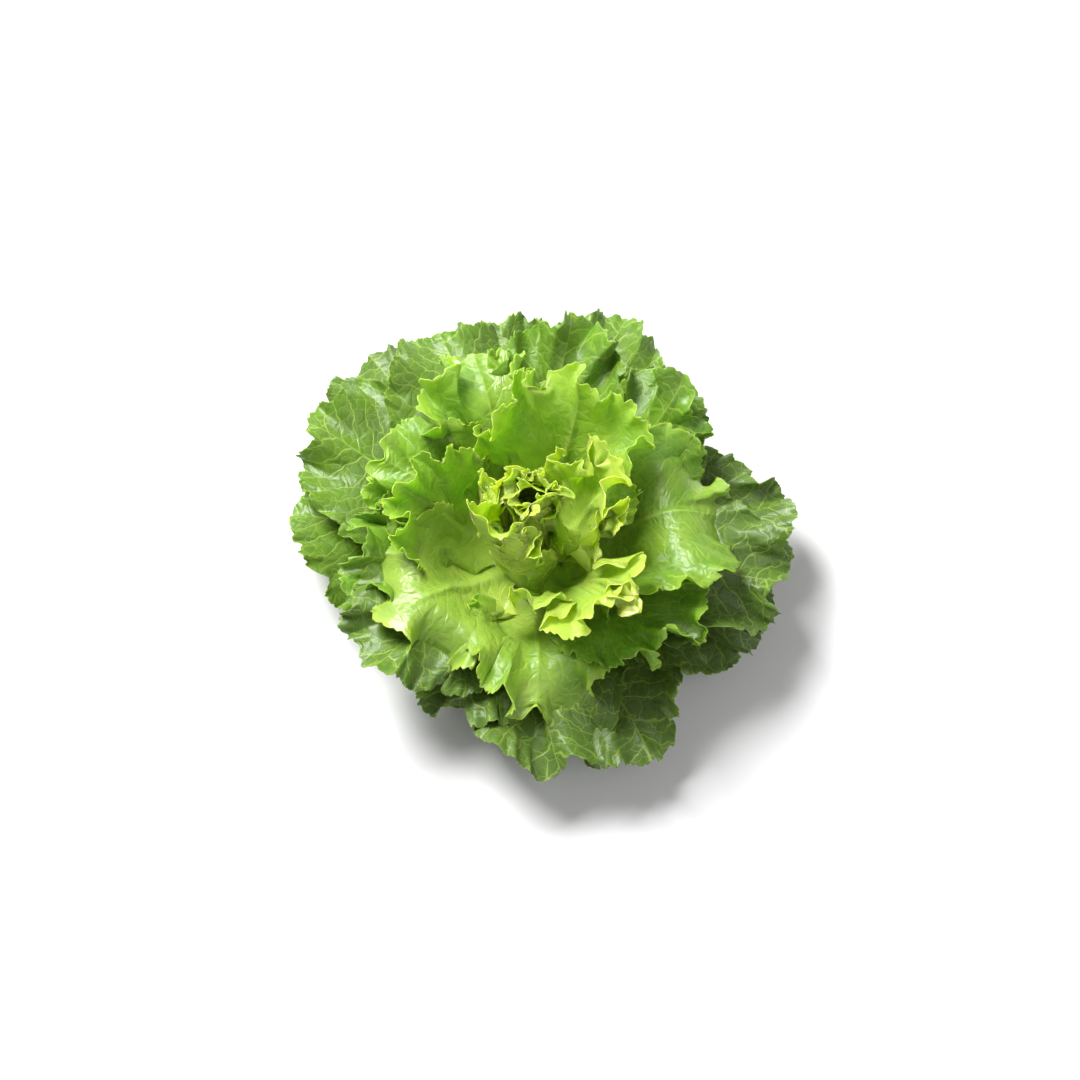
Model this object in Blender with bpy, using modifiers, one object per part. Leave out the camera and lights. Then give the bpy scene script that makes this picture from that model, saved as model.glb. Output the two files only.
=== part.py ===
"""A head of green batavia lettuce, standing on its cut stem with its outer leaves spread on the table.

Every leaf is its own closed blade. A leaf lies in a layer: a smooth bowl round the stem. Heart layers
close over the middle, and open layers lean out and droop. Layers are nested, so the leaves never cross.
Lengths are in metres and angles in degrees. The stem stands on the origin, along +Z.
"""

import math
from collections import namedtuple

import bmesh
import bpy
from mathutils import Vector

HEAD = "lettuce_head"

# Stem: a short stump, with the crown that the leaves grow from as a dome on top of it.
STEM_RADIUS = 0.0165
STEM_CUT_HEIGHT = 0.0075
CROWN_RADIUS = 0.0215
CROWN_HEIGHT = 0.0250
CROWN_BASE = 0.0095
LEAF_TO_CROWN = 0.0010
STEM_SIDES = 32
CROWN_RINGS = 9

# Blades
BLADE_THICKNESS = 0.0007
BLADE_ROWS = 9
BLADE_COLUMNS = 12
ROOT_HALF_WIDTH = 0.009
WIDEST_HALF_ANGLE = 150
RIM_ANGLE = 113
WIDEST_AT = 0.60
PROFILE_STEP = 0.001

# A layer's slope above the horizon at its root, at its knee and at its far end, and how far up the crown it
# is rooted. Layer 0 is the middle of the heart and layer 1 lies on the table.
KNEE_AT = 0.050
FAR_AT = 0.150
Layer = namedtuple("Layer", "at rooted root knee far")
LAYERS = (
    Layer(0.00, 0.06, 78, 92, 94),
    Layer(0.15, 0.22, 58, 88, 106),
    Layer(0.30, 0.46, 24, 74, 34),
    Layer(0.42, 0.60, 14, 60, -6),
    Layer(0.70, 0.82, 5, 35, -20),
    Layer(1.00, 1.00, -4, 13, -14),
)

# Waves that run through all the leaves together, so that they stay nested.
WAVE_FROM = 0.030
WAVE_FULL = 0.110
FLOOR_CLEARANCE = 0.0016
FLOOR_SOFTENS_BELOW = 0.012

# A ruffle of each leaf's own, along its rim.
RUFFLE_HEIGHT = 0.0022
RUFFLE_RIM = 0.55

# layer as above; facing is the compass angle of the tip, anticlockwise from +X; roll bends the tip
# outward and down; green is 0 for the pale heart and 1 for the oldest leaf.
Leaf = namedtuple("Leaf", "name layer facing length half_width roll green")

LEAVES = (
    Leaf("heart_leaf_1", 0.015, 230, 0.084, 0.024, 0, 0.02),
    Leaf("heart_leaf_2", 0.055, 340, 0.094, 0.030, 0, 0.04),
    Leaf("heart_leaf_3", 0.100, 152, 0.102, 0.038, 0, 0.06),
    Leaf("heart_leaf_4", 0.145, 64, 0.106, 0.038, 0, 0.06),
    Leaf("heart_leaf_5", 0.190, 216, 0.102, 0.046, -14, 0.12),
    Leaf("heart_leaf_6", 0.240, 16, 0.104, 0.038, 0, 0.08),
    Leaf("heart_leaf_7", 0.290, 304, 0.112, 0.040, 20, 0.10),
    Leaf("inner_leaf_1", 0.332, 66, 0.113, 0.056, 0, 0.28),
    Leaf("inner_leaf_2", 0.372, 166, 0.094, 0.042, 0, 0.30),
    Leaf("inner_leaf_3", 0.406, 214, 0.100, 0.052, 40, 0.26),
    Leaf("inner_leaf_4", 0.435, 6, 0.126, 0.052, 35, 0.42),
    Leaf("inner_leaf_5", 0.462, 108, 0.108, 0.048, 20, 0.34),
    Leaf("inner_leaf_6", 0.485, 274, 0.096, 0.050, 35, 0.30),
    Leaf("inner_leaf_7", 0.515, 150, 0.098, 0.044, 15, 0.36),
    Leaf("inner_leaf_8", 0.540, 322, 0.103, 0.044, 25, 0.42),
    Leaf("inner_leaf_9", 0.570, 42, 0.116, 0.044, 10, 0.66),
    Leaf("inner_leaf_10", 0.595, 186, 0.096, 0.044, 0, 0.50),
    Leaf("inner_leaf_11", 0.620, 80, 0.122, 0.046, 0, 0.56),
    Leaf("outer_leaf_1", 0.650, 222, 0.106, 0.050, 15, 0.62),
    Leaf("outer_leaf_2", 0.680, 350, 0.129, 0.048, 10, 0.86),
    Leaf("outer_leaf_3", 0.705, 112, 0.129, 0.048, 0, 0.66),
    Leaf("outer_leaf_4", 0.735, 276, 0.112, 0.048, 15, 0.70),
    Leaf("outer_leaf_5", 0.760, 44, 0.113, 0.044, 0, 0.84),
    Leaf("outer_leaf_6", 0.785, 150, 0.130, 0.052, 0, 0.70),
    Leaf("outer_leaf_7", 0.815, 248, 0.096, 0.044, 0, 0.82),
    Leaf("outer_leaf_8", 0.838, 10, 0.131, 0.050, 0, 0.88),
    Leaf("outer_leaf_9", 0.864, 97, 0.124, 0.040, 0, 0.68),
    Leaf("outer_leaf_10", 0.890, 300, 0.116, 0.042, 0, 0.72),
    Leaf("outer_leaf_11", 0.918, 170, 0.118, 0.058, 0, 0.78),
    Leaf("outer_leaf_12", 0.942, 70, 0.134, 0.044, 0, 0.74),
    Leaf("outer_leaf_13", 0.970, 341, 0.119, 0.044, 0, 0.94),
    Leaf("outer_leaf_14", 1.000, 126, 0.140, 0.058, 0, 0.76),
)


def mix(low, high, share):
    return low + (high - low) * share


def smooth(share):
    """0 to 1, with a level start and end."""
    share = min(max(share, 0.0), 1.0)
    return share * share * (3 - 2 * share)


def crown_point(share, inset=0.0):
    """(radius, height) on the crown: share 0 is its top and 1 its foot."""
    turn = share * math.pi / 2
    return (CROWN_RADIUS - inset) * math.sin(turn), CROWN_BASE + (CROWN_HEIGHT - inset) * math.cos(turn)


def layer_at(place):
    """The layer at this place, between the ones listed."""
    for low, high in zip(LAYERS, LAYERS[1:]):
        if place <= high.at:
            share = (place - low.at) / (high.at - low.at)
            return Layer(*(mix(a, b, share) for a, b in zip(low, high)))
    return LAYERS[-1]


def layer_profile(leaf):
    """Points (radius, height) of the leaf's layer, one every PROFILE_STEP from its root."""
    layer = layer_at(leaf.layer)
    radius, height = crown_point(layer.rooted)
    points = [(radius, height)]
    for step in range(int(leaf.length / PROFILE_STEP) + 8):
        along = step * PROFILE_STEP
        if along < KNEE_AT:
            angle = mix(layer.root, layer.knee, math.sin(along / KNEE_AT * math.pi / 2))
        else:
            angle = mix(layer.knee, layer.far, smooth((along - KNEE_AT) / (FAR_AT - KNEE_AT)))
        angle = math.radians(angle - leaf.roll * smooth((along / leaf.length - 0.5) / 0.5))
        radius += PROFILE_STEP * math.cos(angle)
        height += PROFILE_STEP * math.sin(angle)
        points.append((radius, height))
    return points


def on_profile(points, along):
    """(radius, height) this far along a profile."""
    step = min(along / PROFILE_STEP, len(points) - 1.001)
    low = points[int(step)]
    high = points[int(step) + 1]
    return tuple(mix(a, b, step % 1) for a, b in zip(low, high))


def blade_plan(leaf, share, across):
    """Flat place (along, aside) on the blade: share 0 at the foot to 1 at the rim, across -1 to 1 round it."""
    angle = math.radians(abs(across) * RIM_ANGLE)
    middle = WIDEST_AT * leaf.length
    reach = leaf.length - middle if angle < math.pi / 2 else middle
    rim_along = middle + math.copysign(reach * abs(math.cos(angle)) ** 0.9, math.cos(angle))
    rim_aside = math.copysign(leaf.half_width * math.sin(angle) ** 0.85, across)
    foot_aside = ROOT_HALF_WIDTH * mix(0.6, 1.0, smooth(leaf.layer / 0.4)) * across
    return rim_along * share, mix(foot_aside, rim_aside, mix(share * 0.45, share, share))


def waved(point):
    """The point moved by the waves that all the leaves share, and kept above the table."""
    x, y, z = point
    radius = math.hypot(x, y)
    turn = math.atan2(y, x)
    swell = smooth((radius - WAVE_FROM) / (WAVE_FULL - WAVE_FROM))
    lift = 0.0045 * math.sin(3 * turn + 1.1 + radius / 0.045) + 0.0034 * math.sin(8 * turn - radius / 0.026)
    push = 0.0040 * math.sin(5 * turn + z / 0.020)
    scale = 1 + swell * push / max(radius, 1e-6)
    z += swell * lift
    if z < FLOOR_SOFTENS_BELOW:
        room = FLOOR_SOFTENS_BELOW - FLOOR_CLEARANCE
        z = FLOOR_CLEARANCE + room * math.exp((z - FLOOR_SOFTENS_BELOW) / room)
    return Vector((x * scale, y * scale, z))


def blade_point(leaf, profile, share, across):
    """A point of the blade in its place in the head."""
    along, aside = blade_plan(leaf, share, across)
    ruffle = smooth((share - RUFFLE_RIM) / (1 - RUFFLE_RIM)) * math.sin(across * 14 + leaf.facing)
    radius, height = on_profile(profile, along * (1 + 0.02 * ruffle))
    limit = math.radians(WIDEST_HALF_ANGLE)
    turn = math.radians(leaf.facing) + limit * math.tanh(aside / max(radius, 1e-4) / limit)
    ahead = on_profile(profile, along + 0.004)
    run, rise = ahead[0] - radius, ahead[1] - height
    size = RUFFLE_HEIGHT * ruffle * mix(0.5, 1.0, smooth(leaf.layer * 2)) / max(math.hypot(run, rise), 1e-6)
    radius, height = radius - rise * size, height + run * size
    return waved((radius * math.cos(turn), radius * math.sin(turn), height))


def leaf_material(name, green):
    """A matt waxy green, from yellowish at the heart to deep at the outside."""
    material = bpy.data.materials.new(name)
    material.use_nodes = True
    shader = material.node_tree.nodes["Principled BSDF"]
    pale, deep = (0.56, 0.68, 0.13), (0.10, 0.27, 0.03)
    shader.inputs["Base Color"].default_value = (*(mix(a, b, green) for a, b in zip(pale, deep)), 1)
    shader.inputs["Roughness"].default_value = 0.45
    shader.inputs["Metallic"].default_value = 0.0
    return material


def add_leaf(leaf, home):
    """One leaf: a flat grid bent into its layer, thickened to a closed blade."""
    mesh = bpy.data.meshes.new(leaf.name)
    grid = bmesh.new()
    bmesh.ops.create_grid(grid, x_segments=BLADE_COLUMNS, y_segments=BLADE_ROWS, size=1.0)
    profile = layer_profile(leaf)
    for vert in grid.verts:
        across, share = vert.co.x, (vert.co.y + 1) / 2
        vert.co = blade_point(leaf, profile, share, across)
    grid.to_mesh(mesh)
    grid.free()
    mesh.shade_smooth()
    mesh.materials.append(leaf_material(leaf.name, leaf.green))
    blade = bpy.data.objects.new(leaf.name, mesh)
    home.objects.link(blade)
    thicken = blade.modifiers.new("thickness", "SOLIDIFY")
    thicken.thickness = BLADE_THICKNESS
    thicken.offset = 0.0
    return blade


def add_stem(home):
    """The stump and crown as one turned piece, with a flat cut underneath."""
    dome = [crown_point(step / CROWN_RINGS, LEAF_TO_CROWN) for step in range(CROWN_RINGS + 1)]
    outline = [*dome, (STEM_RADIUS, STEM_CUT_HEIGHT), (STEM_RADIUS, 0.0008), (STEM_RADIUS - 0.0008, 0.0), (0.0, 0.0)]
    outline[0] = (0.0, outline[0][1])
    mesh = bpy.data.meshes.new("stem")
    mesh.from_pydata([(r, 0, z) for r, z in outline], [(i, i + 1) for i in range(len(outline) - 1)], [])
    mesh.materials.append(stem_material())
    stem = bpy.data.objects.new("stem", mesh)
    home.objects.link(stem)
    turned = stem.modifiers.new("turned", "SCREW")
    turned.steps = turned.render_steps = STEM_SIDES
    turned.use_merge_vertices = True
    turned.merge_threshold = 0.00005
    turned.use_smooth_shade = True
    return stem


def stem_material():
    material = bpy.data.materials.new("stem")
    material.use_nodes = True
    shader = material.node_tree.nodes["Principled BSDF"]
    shader.inputs["Base Color"].default_value = (0.74, 0.78, 0.52, 1)
    shader.inputs["Roughness"].default_value = 0.5
    shader.inputs["Metallic"].default_value = 0.0
    return material


def main():
    for obj in list(bpy.data.objects):
        bpy.data.objects.remove(obj)
    home = bpy.data.collections.new(HEAD)
    bpy.context.scene.collection.children.link(home)
    add_stem(home)
    for leaf in LEAVES:
        add_leaf(leaf, home)


main()
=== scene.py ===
"""The look of a head of green batavia lettuce, grown over the frame's leaf blades and stem.

Every leaf starts as a smooth blade lying in its own layer of the head. Its rim is then given more length
than the layer has room for, and the sheet is relaxed until it has buckled into frills, the way a real
lettuce leaf gets them. Lengths are in metres and angles in degrees, unless a name says otherwise.
"""

import math
from collections import namedtuple

import bmesh
import bpy
import numpy as np
from bpy.props import FloatProperty, FloatVectorProperty, PointerProperty
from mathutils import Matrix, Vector
from mathutils.bvhtree import BVHTree


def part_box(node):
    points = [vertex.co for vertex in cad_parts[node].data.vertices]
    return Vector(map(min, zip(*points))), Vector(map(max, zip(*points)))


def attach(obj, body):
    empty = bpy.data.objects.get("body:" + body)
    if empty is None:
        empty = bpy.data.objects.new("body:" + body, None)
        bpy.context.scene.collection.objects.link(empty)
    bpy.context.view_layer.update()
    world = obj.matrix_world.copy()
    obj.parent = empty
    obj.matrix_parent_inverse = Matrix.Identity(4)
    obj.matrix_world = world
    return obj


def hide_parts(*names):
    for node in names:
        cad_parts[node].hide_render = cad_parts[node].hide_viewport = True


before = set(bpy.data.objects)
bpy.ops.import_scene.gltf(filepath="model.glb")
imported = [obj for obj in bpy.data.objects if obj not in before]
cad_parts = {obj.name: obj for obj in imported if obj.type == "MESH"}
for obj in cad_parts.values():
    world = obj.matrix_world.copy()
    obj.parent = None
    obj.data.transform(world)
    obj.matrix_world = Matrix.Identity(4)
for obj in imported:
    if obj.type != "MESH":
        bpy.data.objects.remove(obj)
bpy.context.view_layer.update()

bl_info = {
    "name": "Lettuce Head",
    "version": (1, 0, 0),
    "blender": (4, 5, 0),
    "location": "View3D > Sidebar > Lettuce",
    "description": "Grows the frilled leaves, the cut stem and a plain studio for a head of lettuce",
    "category": "Add Mesh",
}

BODY = "root"
VIEW_TARGET = Vector((0.0055, 0.018, 0.0))

# The layers the leaves lie in, as in the frame: place, root on the crown, and slopes at root, knee and end.
STEM_RADIUS = 0.0165
CROWN_RADIUS = 0.0215
CROWN_HEIGHT = 0.0250
CROWN_BASE = 0.0095
KNEE_AT = 0.050
FAR_AT = 0.150
LAYERS = np.array([
    (0.00, 0.06, 78, 92, 94),
    (0.15, 0.22, 58, 88, 106),
    (0.30, 0.46, 24, 74, 34),
    (0.42, 0.60, 14, 60, -6),
    (0.70, 0.82, 5, 35, -20),
    (1.00, 1.00, -4, 13, -14),
])
PROFILE_STEP = 0.001
WAVE_FROM = 0.030
WAVE_FULL = 0.110
FLOOR_CLEARANCE = 0.0016
FLOOR_SOFTENS_BELOW = 0.012
ROOT_HALF_WIDTH = 0.009
WIDEST_HALF_ANGLE = 150
WIDEST_AT = 0.60

# The blade's own grid: columns fan out from the foot to the rim, and rows run from side to side.
RIM_ANGLE = 113
COARSE_ROWS = 7
COARSE_COLUMNS = 16
FINE_ROWS = 49
FINE_COLUMNS = 481

# Which of a leaf's random curves draws what.
LOBES, NICKS, FINE_FRILLS, BROAD_FRILLS, PUCKERS, TEETH = range(1, 7)

# The sheet of a leaf: how fast its edges seek their length, and how stiffly it takes a bend.
EDGE_PULL = 0.9
DIAGONAL_PULL = 0.5
STIFFNESS_IN_HEART = 0.035
STIFFNESS_OUTSIDE = 0.075
STIFFNESS_ALONG = 0.7
LAYER_PULL = 0.5

# Where the frills are: the depth of the finest from the rim, by layer, and of the broad ones.
FINE_DEPTH = ((0.0, 0.3, 0.6, 1.0), (0.0045, 0.0065, 0.009, 0.012))
BROAD_DEPTH = 0.030
TOOTH_ROWS = 10

# How far a leaf may leave its layer: at its rim, by layer, and inside it. Leaves keep LEAF_GAP apart.
RIM_ROOM = ((0.0, 0.3, 0.7), (0.006, 0.009, 0.011))
INNER_ROOM = 0.0025
LEAF_GAP = 0.0012
SEARCH_REACH = 0.005

# The rib's half width at the foot and at the tip.
RIB_AT_FOOT = 0.0045
RIB_AT_TIP = 0.0012

# The unwrapped blade: margin round each side on the unit map, and the width of the strip for the rim.
MAP_MARGIN = 0.01
MAP_RIM = 0.003

# The stem's rings: shares of its radius across the cut, and (bulge, height) up its side.
CUT_RINGS = (0.0, 0.25, 0.5, 0.7, 0.85, 0.94)
SIDE_RINGS = ((0.0002, 0.003), (-0.0002, 0.0052), (0, 0.0075))
DOME_RINGS = 15
STEM_SIDES = 96
SMALLEST_RING = 0.0004

# The studio
FLOOR_HALF_WIDTH = 3.0
KEY_PLACE = (-0.62, 0.74, 1.38)
FILL_PLACE = (0.9, -0.6, 1.4)
FILL_SIZE = 1.2

# name; layer, 0 heart to 1 table; facing of the tip, anticlockwise from +X; length; half width; roll of
# the tip, outward; green, 0 pale to about 1 dark; frill, how much longer the rim is than it has room for.
Leaf = namedtuple("Leaf", "name layer facing length half_width roll green frill")

LEAVES = (
    Leaf("heart_leaf_1", 0.015, 230, 0.096, 0.038, 0, 0.02, 1.60),
    Leaf("heart_leaf_2", 0.055, 340, 0.103, 0.042, 0, 0.04, 1.70),
    Leaf("heart_leaf_3", 0.100, 152, 0.102, 0.038, -8, 0.06, 1.88),
    Leaf("heart_leaf_4", 0.145, 64, 0.106, 0.038, -14, 0.06, 2.00),
    Leaf("heart_leaf_5", 0.190, 216, 0.102, 0.046, -14, 0.12, 1.38),
    Leaf("heart_leaf_6", 0.240, 16, 0.104, 0.038, 0, 0.08, 1.88),
    Leaf("heart_leaf_7", 0.290, 304, 0.112, 0.040, 20, 0.10, 2.00),
    Leaf("inner_leaf_1", 0.332, 66, 0.113, 0.056, 0, 0.28, 1.10),
    Leaf("inner_leaf_2", 0.372, 166, 0.094, 0.042, 0, 0.30, 1.10),
    Leaf("inner_leaf_3", 0.406, 214, 0.100, 0.052, 95, 0.26, 0.92),
    Leaf("inner_leaf_4", 0.435, 6, 0.126, 0.052, 65, 0.34, 0.92),
    Leaf("inner_leaf_5", 0.462, 108, 0.108, 0.048, 20, 0.34, 1.29),
    Leaf("inner_leaf_6", 0.485, 274, 0.096, 0.050, 70, 0.30, 0.92),
    Leaf("inner_leaf_7", 0.515, 150, 0.098, 0.044, 15, 0.36, 0.92),
    Leaf("inner_leaf_8", 0.540, 322, 0.103, 0.044, 25, 0.42, 1.10),
    Leaf("inner_leaf_9", 0.570, 42, 0.116, 0.044, 10, 0.52, 1.20),
    Leaf("inner_leaf_10", 0.595, 186, 0.096, 0.044, 0, 0.50, 1.01),
    Leaf("inner_leaf_11", 0.620, 80, 0.122, 0.046, 0, 0.56, 1.01),
    # The outer leaves towards the bottom and the right, away from the key light, have darker greens: partly
    # the real dark green of old leaves, partly painted shade.
    Leaf("outer_leaf_1", 0.650, 222, 0.106, 0.050, 15, 0.88, 0.59),
    Leaf("outer_leaf_2", 0.680, 350, 0.129, 0.048, 10, 0.96, 0.59),
    Leaf("outer_leaf_3", 0.705, 112, 0.129, 0.048, 0, 0.72, 0.44),
    Leaf("outer_leaf_4", 0.735, 276, 0.112, 0.048, 15, 0.98, 0.59),
    Leaf("outer_leaf_5", 0.760, 44, 0.113, 0.044, 0, 0.70, 0.59),
    Leaf("outer_leaf_6", 0.785, 150, 0.130, 0.052, 0, 0.70, 0.44),
    Leaf("outer_leaf_7", 0.815, 248, 0.096, 0.044, 0, 0.98, 0.59),
    Leaf("outer_leaf_8", 0.838, 10, 0.131, 0.050, 0, 0.98, 0.55),
    Leaf("outer_leaf_9", 0.864, 97, 0.124, 0.040, 0, 0.72, 0.44),
    Leaf("outer_leaf_10", 0.890, 300, 0.116, 0.042, 0, 1.04, 0.65),
    Leaf("outer_leaf_11", 0.918, 170, 0.118, 0.058, 0, 0.68, 0.37),
    Leaf("outer_leaf_12", 0.942, 70, 0.134, 0.044, 0, 0.70, 0.44),
    Leaf("outer_leaf_13", 0.970, 341, 0.119, 0.044, 0, 1.04, 0.50),
    Leaf("outer_leaf_14", 1.000, 126, 0.140, 0.058, 0, 0.84, 0.37),
)


def mix(low, high, share):
    """From low to high by this share."""
    return low + (high - low) * share


def smooth(share):
    """0 to 1, with a level start and end."""
    share = np.clip(share, 0.0, 1.0)
    return share * share * (3 - 2 * share)


def length_of(vectors):
    """Length of each vector of an array."""
    return np.sqrt((vectors * vectors).sum(-1))


# ---------------------------------------------------------------- the smooth blade in its layer


def layer_profile(leaf):
    """Radius and height of the leaf's layer, at every PROFILE_STEP from its root."""
    rooted, root, knee, far = (np.interp(leaf.layer, LAYERS[:, 0], LAYERS[:, i]) for i in range(1, 5))
    along = np.arange(0.0, leaf.length * 1.25, PROFILE_STEP)
    to_knee = mix(root, knee, np.sin(np.minimum(along / KNEE_AT, 1) * math.pi / 2))
    slope = np.where(along < KNEE_AT, to_knee, mix(knee, far, smooth((along - KNEE_AT) / (FAR_AT - KNEE_AT))))
    slope = np.radians(slope - leaf.roll * smooth((along / leaf.length - 0.5) / 0.5))
    turn = rooted * math.pi / 2
    radius = CROWN_RADIUS * math.sin(turn) + np.cumsum(PROFILE_STEP * np.cos(slope))
    height = CROWN_BASE + CROWN_HEIGHT * math.cos(turn) + np.cumsum(PROFILE_STEP * np.sin(slope))
    return along, radius, height


def waved(x, y, z):
    """Points moved by the waves that all the leaves share, and kept above the table."""
    radius = np.hypot(x, y)
    turn = np.arctan2(y, x)
    swell = smooth((radius - WAVE_FROM) / (WAVE_FULL - WAVE_FROM))
    lift = 0.0045 * np.sin(3 * turn + 1.1 + radius / 0.045) + 0.0034 * np.sin(8 * turn - radius / 0.026)
    push = 0.0040 * np.sin(5 * turn + z / 0.020)
    scale = 1 + swell * push / np.maximum(radius, 1e-6)
    z = z + swell * lift
    room = FLOOR_SOFTENS_BELOW - FLOOR_CLEARANCE
    low = FLOOR_CLEARANCE + room * np.exp(np.minimum(z - FLOOR_SOFTENS_BELOW, 0) / room)
    return np.stack((x * scale, y * scale, np.where(z < FLOOR_SOFTENS_BELOW, low, z)), -1)


def ripple(leaf, q, pitches, purpose):
    """A smooth random curve along the rim, about -1 to 1, the leaf's own for this purpose."""
    chance = np.random.default_rng(1000 * purpose + LEAVES.index(leaf))
    total = sum(np.sin(pitch * math.pi * q + chance.uniform(0, 2 * math.pi)) for pitch in pitches)
    return total / math.sqrt(len(pitches)) / 1.2


def blade_plan(leaf, rows, columns):
    """Flat blade coordinates (along, aside) of a fan grid: row 0 is the foot and the last row is the rim."""
    q = np.linspace(-1, 1, columns)[None, :]
    t = 1 - (1 - np.linspace(0, 1, rows)[:, None]) ** 1.35
    angle = np.abs(q) * math.radians(RIM_ANGLE)
    middle = WIDEST_AT * leaf.length
    up = np.where(angle < math.pi / 2, leaf.length - middle, middle) * np.sign(np.cos(angle))
    rim_along = middle + up * np.abs(np.cos(angle)) ** 0.9
    rim_aside = np.sign(q) * leaf.half_width * np.abs(np.sin(angle)) ** 0.85
    lobes = np.clip(0.2 + ripple(leaf, q, (3.1, 5.3, 8.9), LOBES), 0, 1.5) ** 1.5 * 0.04
    nicks = np.clip(ripple(leaf, q, (11.3, 17.9, 27.1), NICKS) - 0.3, 0, 1) * 0.02
    reach = 1 - (lobes + nicks) * t**4 * smooth((1 - np.abs(q)) / 0.2)
    foot = ROOT_HALF_WIDTH * mix(0.6, 1.0, smooth(leaf.layer / 0.4))
    t, q, rim_along, rim_aside = np.broadcast_arrays(t, q, rim_along, rim_aside)
    return t, q, rim_along * t * reach, mix(foot * q, rim_aside * reach, mix(t * 0.45, t, t))


def lay_in_layer(leaf, along, aside):
    """Flat blade coordinates bent into the leaf's layer of the head."""
    steps, radius, height = layer_profile(leaf)
    r = np.interp(along, steps, radius)
    z = np.interp(along, steps, height)
    limit = math.radians(WIDEST_HALF_ANGLE)
    turn = math.radians(leaf.facing) + limit * np.tanh(aside / np.maximum(r, 1e-4) / limit)
    return waved(r * np.cos(turn), r * np.sin(turn), z)


# ---------------------------------------------------------------- growing the frills


def grid_normals(points):
    """Unit normals of grids of points, towards the head's axis and up."""
    across = np.gradient(points, axis=2)
    along = np.gradient(points, axis=1)
    normal = np.cross(across, along)
    return normal / np.maximum(length_of(normal), 1e-12)[..., None]


def pull(a, b, rest, strength):
    """Moves pairs of points, in place, towards their rest distance."""
    gap = b - a
    reach = length_of(gap)
    move = gap * (strength * 0.5 * (reach - rest) / np.maximum(reach, 1e-9))[..., None]
    a += move
    b -= move


def grid_quads(rows, columns):
    """The four corner numbers of every cell of a grid, and the grid of numbers."""
    index = np.arange(rows * columns).reshape(rows, columns)
    corners = (index[:-1, :-1], index[:-1, 1:], index[1:, 1:], index[1:, :-1])
    return np.stack(corners, -1).reshape(-1, 4), index


def inner_side_push(inner, outer, tree):
    """How far each point of an inner leaf has to move to lie on an outer leaf's inner side."""
    push = np.zeros_like(inner)
    low, high = outer.reshape(-1, 3).min(0) - LEAF_GAP, outer.reshape(-1, 3).max(0) + LEAF_GAP
    near = np.argwhere(((inner > low) & (inner < high)).all(-1))
    rows, columns = outer.shape[0] - 1, outer.shape[1] - 1
    hits = []
    for row, column in near.tolist():
        point = inner[row, column]
        place, normal, face, _ = tree.find_nearest(point, SEARCH_REACH)
        if place is None:
            continue
        # beyond the outer leaf's own border a point has no inner side to lie on
        r, c = divmod(face, columns)
        if r < 2 or r > rows - 2 or c < 1 or c > columns - 2:
            continue
        depth = LEAF_GAP - float(np.dot(point - np.array(place), normal))
        if depth > 0:
            push[row, column] += depth * np.array(normal)
            hits.append((r, c, -depth * np.array(normal)))
    return push, hits


def keep_apart(points):
    """Moves leaves that have grown through each other back to their own sides, in place."""
    quads = grid_quads(*points.shape[1:3])[0].tolist()
    trees = [BVHTree.FromPolygons(sheet.reshape(-1, 3).tolist(), quads) for sheet in points]
    moves = np.zeros_like(points)
    counts = np.zeros(points.shape[:3])
    for i in range(len(points)):
        for j in range(i + 1, len(points)):
            push, hits = inner_side_push(points[i], points[j], trees[j])
            if not hits:
                continue
            moves[i] += push
            counts[i] += (push != 0).any(-1)
            for r, c, back in hits:
                moves[j, r : r + 2, c : c + 2] += back
                counts[j, r : r + 2, c : c + 2] += 1
    share = 0.5 / np.maximum(counts, 1)
    points += moves * share[..., None]


def edge_pairs(count):
    """Slices for the two ends of every second edge along a row of points, and then of the edges between."""
    for start in (0, 1):
        end = start + 2 * ((count - start) // 2)
        yield slice(start, end, 2), slice(start + 1, end, 2)


def relax(points, base, rests, hold, room, rounds, apart_every):
    """Lets sheets of leaf settle: every edge seeks its grown length, and nothing leaves its layer by far."""
    normal = grid_normals(base)
    rest_c, rest_r, rest_d, rest_e = rests
    stiffness = np.array([mix(STIFFNESS_IN_HEART, STIFFNESS_OUTSIDE, leaf.layer) for leaf in LEAVES])
    stiffness = stiffness[:, None, None, None]
    rows, columns = points.shape[1:3]
    for turn in range(rounds):
        if apart_every and turn % apart_every == apart_every - 1:
            keep_apart(points)
        for near, far in edge_pairs(columns):
            pull(points[:, :, near], points[:, :, far], rest_c[:, :, near], EDGE_PULL)
        for near, far in edge_pairs(rows):
            pull(points[:, near], points[:, far], rest_r[:, near], EDGE_PULL)
            pull(points[:, near, :-1], points[:, far, 1:], rest_d[:, near], DIAGONAL_PULL)
            pull(points[:, near, 1:], points[:, far, :-1], rest_e[:, near], DIAGONAL_PULL)
        # stiffness against sharp bends, along and across
        mean = 0.5 * (points[:, :, 2:] + points[:, :, :-2])
        points[:, :, 1:-1] += stiffness * (mean - points[:, :, 1:-1])
        mean = 0.5 * (points[:, 2:] + points[:, :-2])
        points[:, 1:-1] += STIFFNESS_ALONG * stiffness * (mean - points[:, 1:-1])
        away = ((points - base) * normal).sum(-1)
        over = away - np.clip(away, -room, room)
        points -= (LAYER_PULL * over)[..., None] * normal
        points += hold[..., None] * (base - points)
    return points


def halfway(values, axis):
    """Grids with a smooth new value between every two along this axis."""
    v = np.moveaxis(values, axis, 0)
    ends = np.concatenate((2 * v[:1] - v[1:2], v, 2 * v[-1:] - v[-2:-1]))
    out = np.empty((2 * len(v) - 1, *v.shape[1:]))
    out[::2] = v
    out[1::2] = (9 * (ends[1:-2] + ends[2:-1]) - ends[:-3] - ends[3:]) / 16
    return np.moveaxis(out, 0, axis)


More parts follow.
